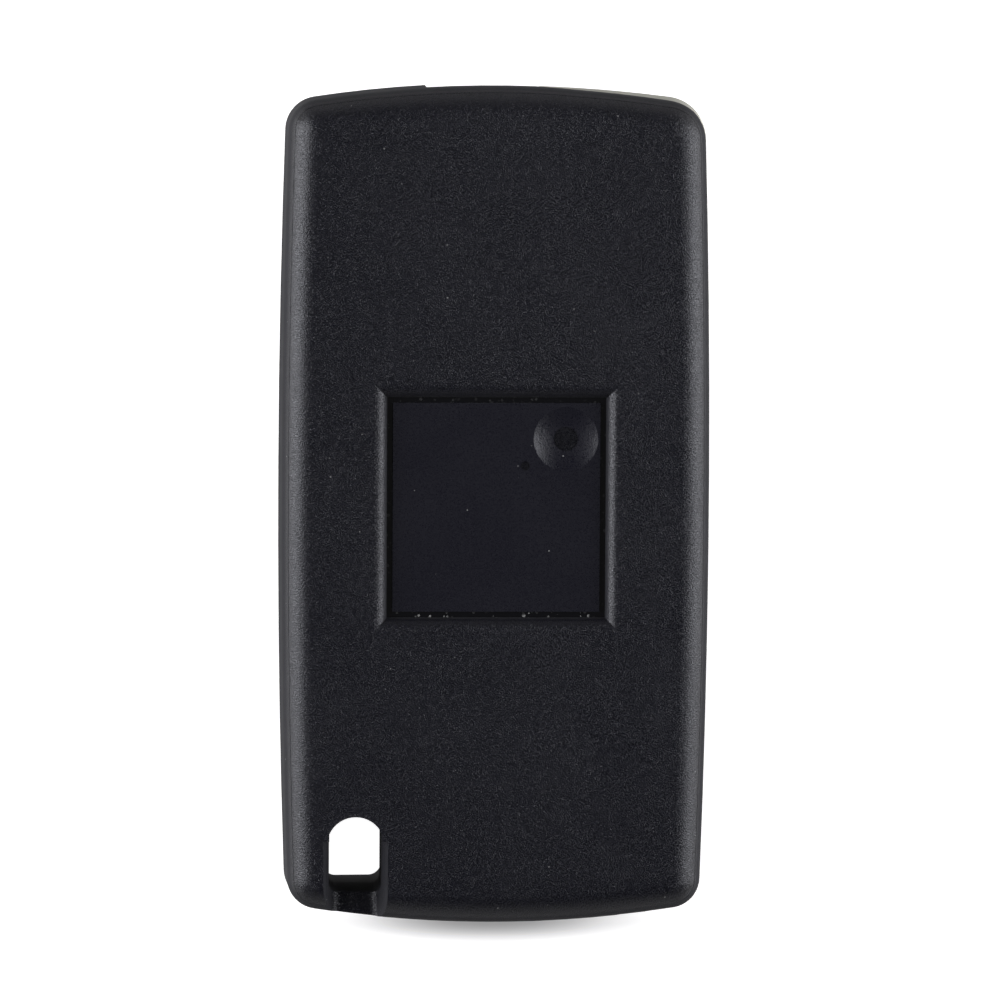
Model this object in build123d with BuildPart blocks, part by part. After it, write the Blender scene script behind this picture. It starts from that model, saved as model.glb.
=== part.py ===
import os
from math import cos, hypot, pi, sin, sqrt

from build123d import *

os.makedirs("parts", exist_ok=True)

# Frame: the key lies folded on its button face, the badge face up.
# +Y points to the flip head, +X to the folded blade, Z = 0 is the button face.

# Case
case_width = 37.0
case_length = 72.0
case_height = 15.0
parting_z = 7.0
side_bow_radius = 950.0
crown_radius = 100.0
corner_radius = 2.9
head_side_corner_radius = 3.8
wall = 1.5
rear_draft = 2.4
front_draft = 3.6
shoulder_radius = 2.4
seam_chamfer = 0.12
cavity_chamfer = 0.7
opening_chamfer = 0.25

# Lip along the seam and the snap tongues behind it
lip_inset = 0.85
lip_height = 0.7
seam_clearance = 0.1
tongue_width = 5.0
tongue_thickness = 1.0
tongue_reach = 2.8
tongue_root = 2.5
tongue_clearance = 0.1
nib_width = 4.0
nib_depth = 0.45
nib_height = 0.9
nib_from_tip = 0.3
nib_pocket_clearance = 0.12
left_tongue_ys = [10.0, -18.5]
top_tongue_x = -11.0
bottom_tongue_x = 2.5

# Badge recess in the back, left bare
badge_width = 17.65
badge_length = 17.8
badge_depth = 1.0
badge_rim_radius = 1.1
badge_trench_width = 0.5
badge_trench_depth = 0.3
badge_pad_margin = 1.5
badge_pad_thickness = 1.4
gate_x = 5.9
gate_y = 5.85
gate_dish_radius = 2.75
gate_dish_depth = 0.22
gate_pit_radius = 1.0
gate_pit_depth = 0.1
gate_nub_radius = 0.4
ejector_mark_x = 2.45
ejector_mark_y = 3.55
ejector_mark_radius = 0.4
ejector_mark_depth = 0.1

# Key-ring slot
slot_x = -11.9
slot_width = 4.5
slot_apex_from_end = 9.6
slot_bar_width = 2.1
slot_top_radius = 2.45
slot_corner_radius = 0.8
slot_front_step = 0.35
sleeve_wall = 1.2
groove_width = 5.5
groove_floor_width = 3.7
groove_depth = 2.6
groove_length = 7.5
groove_fillet = 0.8

# Blade
blade_width = 7.8
blade_thickness = 2.4
blade_length = 42.2
blade_edge_inset = 0.5
blade_edge_chamfer = 0.25
blade_tip_chamfer = 2.4
blade_tip_fillet = 0.6
blade_groove_width = 2.4
blade_groove_depth = 0.7
blade_groove_from_head = 3.5
blade_groove_from_tip = 2.2
blade_slot_gap = 0.45
blade_channel_gap = 0.6
channel_tip_gap = 1.2
tang_width = 5.6
tang_length = 7.0
tang_clearance = 0.03
roll_pin_radius = 0.8
roll_pin_wall = 0.3
roll_pin_slit = 0.35
roll_pin_recess = 0.3
roll_pin_clearance = 0.01
roll_pin_from_foot = 3.6

# Flip head
pivot_to_blade = 7.7
pivot_from_top = 10.5
barrel_radius = 9.9
head_front_z = 3.3
head_back_z = 11.1
head_crown_radius = 120.0
head_crown_drop = 0.16
head_side_inset = 0.06
head_corner_radius = 3.6
head_block_reach = 3.0
head_block_corner = 0.8
head_foot_corner = 1.2
head_edge_chamfer = 0.35
head_bore_radius = 5.3
head_bore_floor = 1.5
front_hub_radius = 6.4
front_hub_height = 1.4
back_hub_radius = 3.5
back_hub_height = 1.6
back_hub_recess_radius = 2.2
back_hub_recess_depth = 0.8
hub_clearance = 0.08
boss_wall = 1.4
boss_gap = 0.2
head_clearance = 0.25
window_clearance = 0.3
sweep_clearance = 0.3
washer_thickness = 0.25
washer_width = 1.5

# Release button and its spring
release_travel = 2.4
release_hole_radius = 5.0
release_cap_radius = 4.8
release_cap_recess = 0.3
release_cap_chamfer = 0.35
release_cap_dish = 0.3
release_cap_dish_floor = 1.2
core_clearance = 0.1
core_wall = 1.0
core_floor = 1.2
core_depth = 4.7
core_gap = 0.2
lug_width = 2.0
lug_reach = 2.1
lug_height = 1.6
lug_clearance = 0.2
spring_wire_radius = 0.4
spring_coil_radius = 3.3
spring_turns = 4.5
spring_steps = 12
spring_sides = 6
spring_clearance = 0.1

# Buttons and their rubber keypad
keypad_x = -3.5
keypad_y = -8.0
button_pitch = 10.8
button_width = 13.7
button_length = 7.7
button_corner = 1.9
button_recess = 0.3
button_clearance = 0.15
button_dish_margin = 0.65
button_dish_depth = 0.22
button_dish_floor = 0.8
button_edge_chamfer = 0.25
flange_margin = 0.85
flange_thickness = 0.6
flange_gap = 0.1
flange_clearance = 0.2
button_travel = 0.5
keypad_margin = 2.0
keypad_thickness = 0.6
keypad_corner = 2.0
keypad_gap = 0.1
keypad_clearance = 0.1
keypad_lip_wall = 0.8
keypad_lip_height = 0.9
dome_radius = 2.2
dome_tip_radius = 1.6
dome_height = 0.8

# Ribs, posts and pockets inside
rib = 1.0
rib_merge = 0.2
board_post_z = 4.5
board_post_size = 1.6
board_post_left_ys = [4.5, -12.0]
board_post_right_ys = [4.5, -20.0]
channel_rib_ys = [8.0, -6.0, -20.0]
cell_x = -3.6
cell_y = 0.5
cell_radius = 8.15
cell_wall_height = 3.2
cell_wall_gap = 5.0
chip_side_gap = 0.55
chip_partition_gap = 0.2
chip_from_top = 15.5
chip_length = 11.6
chip_wall = 0.8
chip_wall_top = 5.2
chip_cover_thickness = 0.8
chip_cover_step = 0.5
chip_cover_clearance = 0.1
contact_thickness = 0.3
contact_width = 3.6
contact_bend = 0.5
contact_leg_z = 8.2
contact_lift = 0.6
contact_gap = 0.35
contact_hook = 0.9

# Worked out from the sizes above
half_width = case_width / 2
half_length = case_length / 2
back_inner_z = case_height - wall
badge_floor_z = case_height - badge_depth
badge_pad_z = badge_floor_z - badge_pad_thickness
badge_outer_width = badge_width + 2 * badge_trench_width
badge_outer_length = badge_length + 2 * badge_trench_width
blade_x = half_width - blade_edge_inset - blade_width / 2
blade_front_z = parting_z - blade_thickness / 2
pivot_x = blade_x - pivot_to_blade
pivot_y = half_length - pivot_from_top
head_foot_y = pivot_y - barrel_radius
head_mid_z = (head_front_z + head_back_z) / 2
blade_tip_y = head_foot_y - blade_length
window_left = 2 * pivot_x - half_width - window_clearance
window_foot_y = head_foot_y - window_clearance
foot_corner_x = half_width - head_foot_corner - pivot_x
foot_corner_y = barrel_radius - head_foot_corner
sweep_radius = hypot(foot_corner_x, foot_corner_y) + head_foot_corner + sweep_clearance
channel_x = blade_x - blade_width / 2 - blade_channel_gap
channel_end_y = blade_tip_y - channel_tip_gap
chip_left = wall - half_width + chip_side_gap
chip_right = pivot_x - sweep_radius - rib - chip_partition_gap
chip_width = chip_right - chip_left - 2 * chip_wall
chip_x = (chip_left + chip_right) / 2
chip_y = half_length - chip_from_top
slot_apex_y = slot_apex_from_end - half_length
slot_foot_y = slot_bar_width - half_length + crown_radius - sqrt(crown_radius**2 - slot_x**2)
buttons = {
    "lock_button": keypad_y + button_pitch,
    "boot_button": keypad_y,
    "unlock_button": keypad_y - button_pitch,
}
flange_z = wall + flange_gap
flange_width = button_width + 2 * flange_margin
flange_length = button_length + 2 * flange_margin
flange_corner = button_corner + flange_margin
ledge_z = flange_z + flange_thickness + button_travel + keypad_gap
keypad_width = flange_width + 2 * keypad_margin
keypad_length = 2 * button_pitch + flange_length + 2 * keypad_margin
core_front_z = wall + core_gap
core_radius = head_bore_radius - core_clearance
bore_floor_z = head_back_z - head_bore_floor
lug_z = head_front_z
socket_z = head_back_z + washer_thickness + seam_clearance
spring_front_z = core_front_z + core_floor + spring_clearance
spring_back_z = bore_floor_z - spring_clearance
diagonal = Axis((0, 0, 0), (1, 1, 0))
foot_diagonal = Axis((0, 0, 0), (1, -1, 0))


# Bowed sides and crowned ends: four large arcs met by round corners
def case_outline(height, inset=0.0):
    with BuildSketch(Plane.XY.offset(height)) as outline:
        with Locations((half_width - side_bow_radius, 0)):
            Circle(side_bow_radius - inset)
        with Locations((side_bow_radius - half_width, 0)):
            Circle(side_bow_radius - inset, mode=Mode.INTERSECT)
        with Locations((0, half_length - crown_radius)):
            Circle(crown_radius - inset, mode=Mode.INTERSECT)
        with Locations((0, crown_radius - half_length)):
            Circle(crown_radius - inset, mode=Mode.INTERSECT)
        corners = outline.vertices().sort_by(diagonal)
        fillet(corners[:-1], corner_radius - inset)
        fillet(outline.vertices().sort_by(diagonal)[-1], head_side_corner_radius - inset)
    return outline.sketch


# Short stretches of the case wall band, where the snap tongues stand
def tongue_band(height, outer_inset, inner_inset, width):
    with BuildSketch(Plane.XY.offset(height)) as band:
        with Locations([(-half_width, y) for y in left_tongue_ys]):
            Rectangle(half_width, width)
        with Locations((top_tongue_x, half_length), (bottom_tongue_x, -half_length)):
            Rectangle(width, half_width)
        add(case_outline(height, outer_inset), mode=Mode.INTERSECT)
        add(case_outline(height, inner_inset), mode=Mode.SUBTRACT)
    return band.sketch


# Key-ring slot: straight sides, an arched top and a rounded foot
def ring_slot(height, margin=0.0):
    half = slot_width / 2
    shoulder_y = slot_apex_y - slot_top_radius + sqrt(slot_top_radius**2 - half**2)
    with BuildSketch(Plane.XY.offset(height)) as slot:
        with BuildLine():
            ThreePointArc((slot_x - half, shoulder_y), (slot_x, slot_apex_y), (slot_x + half, shoulder_y))
            Polyline(
                (slot_x + half, shoulder_y),
                (slot_x + half, slot_foot_y),
                (slot_x - half, slot_foot_y),
                (slot_x - half, shoulder_y),
            )
        make_face()
        fillet(slot.vertices().group_by(Axis.Y)[0], slot_corner_radius)
        if margin > 0:
            offset(amount=margin)
    return slot.sketch


# Round barrel about the pivot, and a block that fills the corner of the case
def head_outline(height):
    with BuildSketch(Plane.XY.offset(height)) as outline:
        with Locations((pivot_x - head_block_reach, head_foot_y)):
            Rectangle(case_width, case_length, align=(Align.MIN, Align.MIN))
        with Locations((half_width - side_bow_radius, 0)):
            Circle(side_bow_radius - head_side_inset, mode=Mode.INTERSECT)
        with Locations((0, half_length - head_crown_drop - head_crown_radius)):
            Circle(head_crown_radius, mode=Mode.INTERSECT)
        fillet(outline.vertices().group_by(Axis.X)[0].sort_by(Axis.Y)[-1], head_block_corner)
        fillet(outline.vertices().sort_by(diagonal)[-1], head_corner_radius)
        fillet(outline.vertices().sort_by(foot_diagonal)[-1], head_foot_corner)
        with Locations((pivot_x, pivot_y)):
            Circle(barrel_radius)
    return outline.sketch


# Stretch of the case wall that the head fills, and that the head swings through
def head_window(height):
    with BuildSketch(Plane.XY.offset(height)) as window:
        with Locations((window_left, window_foot_y)):
            Rectangle(case_width, case_length, align=(Align.MIN, Align.MIN))
        add(case_outline(height, wall + rib_merge), mode=Mode.SUBTRACT)
    return window.sketch


# Slit in the side wall that the folded blade leaves through
def blade_window(height):
    with BuildSketch(Plane.XY.offset(height)) as window:
        with Locations((channel_x, channel_end_y)):
            Rectangle(case_width, window_foot_y - channel_end_y, align=(Align.MIN, Align.MIN))
        add(case_outline(height, wall + rib_merge), mode=Mode.SUBTRACT)
    return window.sketch


# Wall round the swinging head, and wall between the blade and the board bay
def channel_walls(height):
    with BuildSketch(Plane.XY.offset(height)) as walls:
        with Locations((pivot_x, pivot_y)):
            Circle(sweep_radius + rib)
            Circle(sweep_radius, mode=Mode.SUBTRACT)
        with Locations((channel_x, 0)):
            Rectangle(case_width, case_length * 2, align=(Align.MIN, Align.CENTER), mode=Mode.SUBTRACT)
        with Locations((channel_x, channel_end_y - rib)):
            Rectangle(rib, pivot_y - sweep_radius - channel_end_y, align=(Align.MAX, Align.MIN))
            Rectangle(case_width, rib, align=(Align.MIN, Align.MIN))
        add(case_outline(height, wall - rib_merge), mode=Mode.INTERSECT)
    return walls.sketch


# Low cross ribs that keep the folded blade off the floor of its channel
def channel_rests(height):
    with BuildSketch(Plane.XY.offset(height)) as rests:
        with Locations([(channel_x - rib_merge, y) for y in channel_rib_ys]):
            Rectangle(case_width, rib, align=(Align.MIN, Align.CENTER))
        add(case_outline(height, wall - rib_merge), mode=Mode.INTERSECT)
    return rests.sketch


# Rear shell: the badge face, with the seam lip and the snap tongues
with BuildPart() as rear_shell:
    extrude(case_outline(parting_z), amount=case_height - parting_z)
    rear_sides = rear_shell.faces().filter_by(Axis.Z, reverse=True)
    draft(rear_sides, Plane.XY.offset(parting_z), rear_draft)
    chamfer(rear_shell.faces().sort_by(Axis.Z)[0].edges(), seam_chamfer)
    fillet(rear_shell.faces().sort_by(Axis.Z)[-1].edges(), shoulder_radius)

    # Hollow, then the lip that drops inside the front shell
    extrude(case_outline(parting_z, wall), amount=back_inner_z - parting_z, mode=Mode.SUBTRACT)
    ceiling = rear_shell.faces().filter_by(Axis.Z).filter_by_position(Axis.Z, back_inner_z, back_inner_z)
    chamfer(ceiling.edges(), cavity_chamfer)
    extrude(case_outline(parting_z, lip_inset), amount=-lip_height)
    extrude(case_outline(parting_z, wall), amount=-lip_height, mode=Mode.SUBTRACT)

    # Snap tongues with a nib near the tip
    tongue_inset = wall + tongue_clearance
    tongue_inner = tongue_inset + tongue_thickness
    tongue_tip_z = parting_z - tongue_reach
    extrude(
        tongue_band(parting_z - lip_height, wall - rib_merge, tongue_inner, tongue_width),
        amount=lip_height + tongue_root,
    )
    extrude(tongue_band(tongue_tip_z, tongue_inset, tongue_inner, tongue_width), amount=tongue_reach)
    extrude(
        tongue_band(tongue_tip_z + nib_from_tip, tongue_inset - nib_depth, tongue_inner, nib_width),
        amount=nib_height,
    )

    # Ribs, ring sleeve, cell wall and the pad under the badge
    extrude(channel_walls(parting_z - lip_height), amount=back_inner_z - parting_z + lip_height)
    rest_z = parting_z + blade_thickness / 2 + 2 * blade_slot_gap
    extrude(channel_rests(rest_z), amount=back_inner_z - rest_z)
    extrude(ring_slot(parting_z, sleeve_wall), amount=back_inner_z - parting_z)
    with BuildSketch(Plane.XY.offset(badge_pad_z)):
        Rectangle(badge_width + 2 * badge_pad_margin, badge_length + 2 * badge_pad_margin)
    extrude(amount=back_inner_z - badge_pad_z)
    with BuildSketch(Plane.XY.offset(back_inner_z - cell_wall_height)):
        with Locations((cell_x, cell_y)):
            Circle(cell_radius + rib)
            Circle(cell_radius, mode=Mode.SUBTRACT)
            Rectangle(4 * cell_radius, cell_wall_gap, mode=Mode.SUBTRACT)
    extrude(amount=cell_wall_height)
    with BuildSketch(Plane.XY.offset(socket_z)):
        with Locations((pivot_x, pivot_y)):
            Circle(back_hub_radius + hub_clearance + boss_wall)
            Circle(back_hub_radius + hub_clearance, mode=Mode.SUBTRACT)
    extrude(amount=back_inner_z - socket_z)

    # Badge recess with its rounded rim and narrow trench, gate dish and ejector mark
    with BuildSketch(Plane.XY.offset(badge_floor_z - badge_trench_depth)):
        Rectangle(badge_outer_width, badge_outer_length)
        Rectangle(badge_width, badge_length, mode=Mode.SUBTRACT)
    extrude(amount=badge_trench_depth, mode=Mode.SUBTRACT)
    with BuildSketch(Plane.XY.offset(badge_floor_z)):
        Rectangle(badge_outer_width, badge_outer_length)
    extrude(amount=badge_depth, mode=Mode.SUBTRACT)
    badge_face = rear_shell.faces().sort_by(Axis.Z)[-1]
    fillet(badge_face.inner_wires()[0].edges(), badge_rim_radius)
    with Locations((gate_x, gate_y, badge_floor_z)):
        Cone(
            gate_pit_radius,
            gate_dish_radius,
            gate_dish_depth,
            align=(Align.CENTER, Align.CENTER, Align.MAX),
            mode=Mode.SUBTRACT,
        )
    with BuildSketch(Plane.XY.offset(badge_floor_z - gate_dish_depth - gate_pit_depth)):
        with Locations((gate_x, gate_y)):
            Circle(gate_pit_radius)
            Circle(gate_nub_radius, mode=Mode.SUBTRACT)
    extrude(amount=gate_dish_depth + gate_pit_depth, mode=Mode.SUBTRACT)
    with BuildSketch(Plane.XY.offset(badge_floor_z - ejector_mark_depth)):
        with Locations((ejector_mark_x, ejector_mark_y)):
            Circle(ejector_mark_radius)
    extrude(amount=ejector_mark_depth, mode=Mode.SUBTRACT)

    # Key-ring slot and the groove that leads over the bar
    extrude(ring_slot(parting_z - lip_height), amount=case_height, mode=Mode.SUBTRACT)
    groove_floor_z = case_height - groove_depth
    groove_flare = (groove_width - groove_floor_width) / 2 / groove_depth * (groove_depth + wall)
    with BuildSketch(Plane.XZ.offset(half_length)) as groove:
        with BuildLine():
            Polyline(
                (slot_x - groove_floor_width / 2, groove_floor_z),
                (slot_x + groove_floor_width / 2, groove_floor_z),
                (slot_x + groove_floor_width / 2 + groove_flare, case_height + wall),
                (slot_x - groove_floor_width / 2 - groove_flare, case_height + wall),
                close=True,
            )
        make_face()
        fillet(groove.vertices().group_by(Axis.Y)[0], groove_fillet)
    extrude(amount=-groove_length, mode=Mode.SUBTRACT)

    # Window for the head and slit for the blade
    window_front_z = head_front_z - head_clearance
    window_height = head_back_z - head_front_z + 2 * head_clearance
    slit_front_z = blade_front_z - blade_slot_gap
    slit_height = blade_thickness + 2 * blade_slot_gap
    extrude(head_window(window_front_z), amount=window_height, mode=Mode.SUBTRACT)
    extrude(blade_window(slit_front_z), amount=slit_height, mode=Mode.SUBTRACT)

# Front shell: the button face, with the keypad frame and the release hole
with BuildPart() as front_shell:
    extrude(case_outline(0), amount=parting_z)
    front_sides = front_shell.faces().filter_by(Axis.Z, reverse=True)
    draft(front_sides, Plane.XY.offset(parting_z), -front_draft)
    chamfer(front_shell.faces().sort_by(Axis.Z)[-1].edges(), seam_chamfer)
    fillet(front_shell.faces().sort_by(Axis.Z)[0].edges(), shoulder_radius)
    rebate_z = parting_z - lip_height - seam_clearance
    extrude(case_outline(wall, wall), amount=parting_z - wall, mode=Mode.SUBTRACT)
    floor = front_shell.faces().filter_by(Axis.Z).filter_by_position(Axis.Z, wall, wall)
    chamfer(floor.edges(), cavity_chamfer)
    extrude(
        case_outline(rebate_z, lip_inset - seam_clearance),
        amount=parting_z - rebate_z,
        mode=Mode.SUBTRACT,
    )
    # Pockets that the nibs snap into
    pocket_inset = wall + tongue_clearance - nib_depth - nib_pocket_clearance
    extrude(
        tongue_band(
            parting_z - tongue_reach + nib_from_tip - nib_pocket_clearance,
            pocket_inset,
            wall + rib_merge,
            nib_width + 2 * nib_pocket_clearance,
        ),
        amount=nib_height + 2 * nib_pocket_clearance,
        mode=Mode.SUBTRACT,
    )

    # Ribs, ring sleeve and board posts
    extrude(channel_walls(wall), amount=rebate_z - wall)
    rest_top_z = blade_front_z - 2 * blade_slot_gap
    extrude(channel_rests(wall), amount=rest_top_z - wall)
    extrude(ring_slot(wall, slot_front_step + sleeve_wall), amount=rebate_z - wall)
    with BuildSketch(Plane.XY.offset(wall)):
        with Locations([(wall - half_width, y) for y in board_post_left_ys]):
            Rectangle(2 * board_post_size, board_post_size)
        with Locations([(channel_x - rib / 2, y) for y in board_post_right_ys]):
            Rectangle(board_post_size + rib / 2, board_post_size, align=(Align.MAX, Align.CENTER))
        add(case_outline(0, wall - rib_merge), mode=Mode.INTERSECT)
    extrude(amount=board_post_z - wall)

    # Keypad frame: a ledge under the rubber, a lip round it and a well for each cap
    lip_width = keypad_width + 2 * keypad_clearance
    lip_length = keypad_length + 2 * keypad_clearance
    with BuildSketch(Plane.XY.offset(wall)):
        with Locations((keypad_x, keypad_y)):
            RectangleRounded(
                lip_width + 2 * keypad_lip_wall, lip_length + 2 * keypad_lip_wall, keypad_corner + keypad_lip_wall
            )
    extrude(amount=ledge_z + keypad_lip_height - wall)
    with BuildSketch(Plane.XY.offset(ledge_z)):
        with Locations((keypad_x, keypad_y)):
            RectangleRounded(lip_width, lip_length, keypad_corner)
    extrude(amount=keypad_lip_height, mode=Mode.SUBTRACT)
    with BuildSketch(Plane.XY.offset(wall)):
        with Locations([(keypad_x, y) for y in buttons.values()]):
            RectangleRounded(
                flange_width + 2 * flange_clearance, flange_length + 2 * flange_clearance, flange_corner
            )
    extrude(amount=ledge_z - wall, mode=Mode.SUBTRACT)
    with BuildSketch():
        with Locations([(keypad_x, y) for y in buttons.values()]):
            RectangleRounded(
                button_width + 2 * button_clearance, button_length + 2 * button_clearance, button_corner
            )
    extrude(amount=wall, mode=Mode.SUBTRACT)

    # Pocket for the transponder chip
    with BuildSketch(Plane.XY.offset(wall)):
        with Locations((chip_x, chip_y)):
            Rectangle(chip_width + 2 * chip_wall, chip_length + 2 * chip_wall)
            Rectangle(chip_width, chip_length, mode=Mode.SUBTRACT)
    extrude(amount=chip_wall_top - wall)

    # Boss round the release hole, notched for the catch lugs
    boss_bore = front_hub_radius + hub_clearance
    with BuildSketch(Plane.XY.offset(wall)):
        with Locations((pivot_x, pivot_y)):
            Circle(boss_bore + boss_wall)
            Circle(boss_bore, mode=Mode.SUBTRACT)
            Rectangle(lug_width + 2 * lug_clearance, 4 * boss_bore, mode=Mode.SUBTRACT)
    extrude(amount=head_front_z - boss_gap - wall)
    with BuildSketch():
        with Locations((pivot_x, pivot_y)):
            Circle(release_hole_radius)
    extrude(amount=wall, mode=Mode.SUBTRACT)

    # Key-ring slot, window for the head and slit for the blade
    extrude(ring_slot(0, slot_front_step), amount=parting_z, mode=Mode.SUBTRACT)
    chamfer(front_shell.faces().sort_by(Axis.Z)[0].inner_wires().edges(), opening_chamfer)
    extrude(head_window(window_front_z), amount=window_height, mode=Mode.SUBTRACT)
    extrude(blade_window(slit_front_z), amount=slit_height, mode=Mode.SUBTRACT)

# Flip head: one casting that turns in the shells and carries the blade
with BuildPart() as flip_head:
    extrude(head_outline(head_front_z), amount=head_back_z - head_front_z)
    head_faces = flip_head.faces().filter_by(Axis.Z)
    chamfer(head_faces.edges(), head_edge_chamfer)
    with BuildSketch(Plane.XY.offset(head_front_z - front_hub_height)):
        with Locations((pivot_x, pivot_y)):
            Circle(front_hub_radius)
    extrude(amount=front_hub_height)
    with BuildSketch(Plane.XY.offset(head_back_z)):
        with Locations((pivot_x, pivot_y)):
            Circle(back_hub_radius)
    extrude(amount=back_hub_height)
    with BuildSketch(Plane.XY.offset(head_back_z + back_hub_height - back_hub_recess_depth)):
        with Locations((pivot_x, pivot_y)):
            Circle(back_hub_recess_radius)
    extrude(amount=back_hub_recess_depth, mode=Mode.SUBTRACT)
    # Bore for the release core, and the slots its lugs slide in
    with BuildSketch(Plane.XY.offset(head_front_z - front_hub_height)):
        with Locations((pivot_x, pivot_y)):
            Circle(head_bore_radius)
    extrude(amount=bore_floor_z - head_front_z + front_hub_height, mode=Mode.SUBTRACT)
    with BuildSketch(Plane.XY.offset(head_front_z - front_hub_height)):
        with Locations((pivot_x, pivot_y)):
            Rectangle(lug_width + 2 * lug_clearance, 2 * (core_radius + lug_reach + lug_clearance))
    extrude(
        amount=lug_z + lug_height + release_travel + lug_clearance - head_front_z + front_hub_height,
        mode=Mode.SUBTRACT,
    )
    # Pocket for the blade's tang, and the hole of the pin that holds it
    with Locations((blade_x, head_foot_y, parting_z)):
        Box(
            tang_width + 2 * tang_clearance,
            tang_length + tang_clearance,
            blade_thickness + 2 * tang_clearance,
            align=(Align.CENTER, Align.MIN, Align.CENTER),
            mode=Mode.SUBTRACT,
        )
    with Locations((blade_x, head_foot_y + roll_pin_from_foot, head_mid_z)):
        Cylinder(roll_pin_radius + roll_pin_clearance, 2 * head_back_z, mode=Mode.SUBTRACT)

# Blade blank: uncut edges, a milled groove on both faces and a narrow tang
with BuildPart() as key_blade:
    with BuildSketch(Plane.XY.offset(blade_front_z)) as blade_plan:
        with Locations((blade_x, head_foot_y)):
            Rectangle(blade_width, blade_length, align=(Align.CENTER, Align.MAX))
        chamfer(blade_plan.vertices().group_by(Axis.Y)[0], blade_tip_chamfer)
        fillet(blade_plan.vertices().group_by(Axis.Y)[0], blade_tip_fillet)
    extrude(amount=blade_thickness)
    blade_flats = key_blade.faces().filter_by(Axis.Z)
    chamfer(blade_flats.edges(), blade_edge_chamfer)
    with Locations((blade_x, head_foot_y, parting_z)):
        Box(
            tang_width,
            tang_length,
            blade_thickness,
            align=(Align.CENTER, Align.MIN, Align.CENTER),
        )
    groove_length_y = blade_length - blade_groove_from_head - blade_groove_from_tip
    groove_mid_y = head_foot_y - blade_groove_from_head - groove_length_y / 2
    for groove_z in (blade_front_z, blade_front_z + blade_thickness - blade_groove_depth):
        with BuildSketch(Plane.XY.offset(groove_z)):
            with Locations((blade_x, groove_mid_y)):
                SlotOverall(groove_length_y, blade_groove_width, rotation=90)
        extrude(amount=blade_groove_depth, mode=Mode.SUBTRACT)
    with Locations((blade_x, head_foot_y + roll_pin_from_foot, parting_z)):
        Cylinder(roll_pin_radius + roll_pin_clearance, 2 * blade_thickness, mode=Mode.SUBTRACT)

# Slotted spring pin through the head and the tang
with BuildPart() as blade_roll_pin:
    with BuildSketch(Plane.XY.offset(head_front_z + roll_pin_recess)):
        with Locations((blade_x, head_foot_y + roll_pin_from_foot)):
            Circle(roll_pin_radius)
            Circle(roll_pin_radius - roll_pin_wall, mode=Mode.SUBTRACT)
            Rectangle(roll_pin_radius, roll_pin_slit, align=(Align.MIN, Align.CENTER), mode=Mode.SUBTRACT)
    extrude(amount=head_back_z - head_front_z - 2 * roll_pin_recess)

# Thin steel washer between the head and the socket in the rear shell
with BuildPart() as pivot_washer:
    with BuildSketch(Plane.XY.offset(head_back_z)):
        with Locations((pivot_x, pivot_y)):
            Circle(back_hub_radius + hub_clearance + washer_width)
            Circle(back_hub_radius + hub_clearance, mode=Mode.SUBTRACT)
    extrude(amount=washer_thickness)

# Release core: a cup that slides in the head's bore, with two catch lugs
with BuildPart() as release_core:
    with BuildSketch(Plane.XY.offset(core_front_z)):
        with Locations((pivot_x, pivot_y)):
            Circle(core_radius)
    extrude(amount=core_depth)
    with BuildSketch(Plane.XY.offset(lug_z)):
        with Locations((pivot_x, pivot_y)):
            Rectangle(lug_width, 2 * (core_radius + lug_reach))
    extrude(amount=lug_height)
    with BuildSketch(Plane.XY.offset(core_front_z + core_floor)):
        with Locations((pivot_x, pivot_y)):
            Circle(core_radius - core_wall)
    extrude(amount=core_depth - core_floor, mode=Mode.SUBTRACT)

# Round release cap on the button face, dished for the thumb
with BuildPart() as release_cap:
    with BuildSketch(Plane.XY.offset(release_cap_recess)):
        with Locations((pivot_x, pivot_y)):
            Circle(release_cap_radius)
    extrude(amount=core_front_z - release_cap_recess)
    chamfer(release_cap.faces().sort_by(Axis.Z)[0].edges(), release_cap_chamfer)
    with Locations((pivot_x, pivot_y, release_cap_recess)):
        Cone(
            release_cap_radius - 2 * release_cap_chamfer,
            release_cap_dish_floor,
            release_cap_dish,
            align=(Align.CENTER, Align.CENTER, Align.MIN),
            mode=Mode.SUBTRACT,
        )

# Flip spring: open coils between the cup and the floor of the bore
coil_height = spring_back_z - spring_front_z - 2 * spring_wire_radius
coil_lead = coil_height / (2 * pi * spring_turns * spring_coil_radius)
coil_steps = round(spring_turns * spring_steps)
with BuildPart() as flip_spring:
    for step in range(coil_steps + 1):
        turn = 2 * pi * spring_turns * step / coil_steps
        wire_x = pivot_x + spring_coil_radius * cos(turn)
        wire_y = pivot_y + spring_coil_radius * sin(turn)
        wire_z = spring_front_z + spring_wire_radius + coil_height * step / coil_steps
        across = (cos(turn), sin(turn), 0)
        along = (-sin(turn), cos(turn), coil_lead)
        with BuildSketch(Plane(origin=(wire_x, wire_y, wire_z), x_dir=across, z_dir=along)):
            RegularPolygon(spring_wire_radius, spring_sides)
    loft(ruled=True)

# Hard button caps: a dished face in the window and a flange behind the wall
caps = {}
for button_name, button_y in buttons.items():
    with BuildPart() as cap:
        with BuildSketch(Plane.XY.offset(button_recess)):
            with Locations((keypad_x, button_y)):
                RectangleRounded(button_width, button_length, button_corner)
        extrude(amount=flange_z - button_recess)
        chamfer(cap.faces().sort_by(Axis.Z)[0].edges(), button_edge_chamfer)
        with BuildSketch(Plane.XY.offset(flange_z)):
            with Locations((keypad_x, button_y)):
                RectangleRounded(flange_width, flange_length, flange_corner)
        extrude(amount=flange_thickness)
        with Locations((keypad_x, button_y, button_recess)):
            Cone(
                button_length / 2 - button_dish_margin,
                button_dish_floor,
                button_dish_depth,
                align=(Align.CENTER, Align.CENTER, Align.MIN),
                mode=Mode.SUBTRACT,
            )
    caps[button_name] = cap

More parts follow.
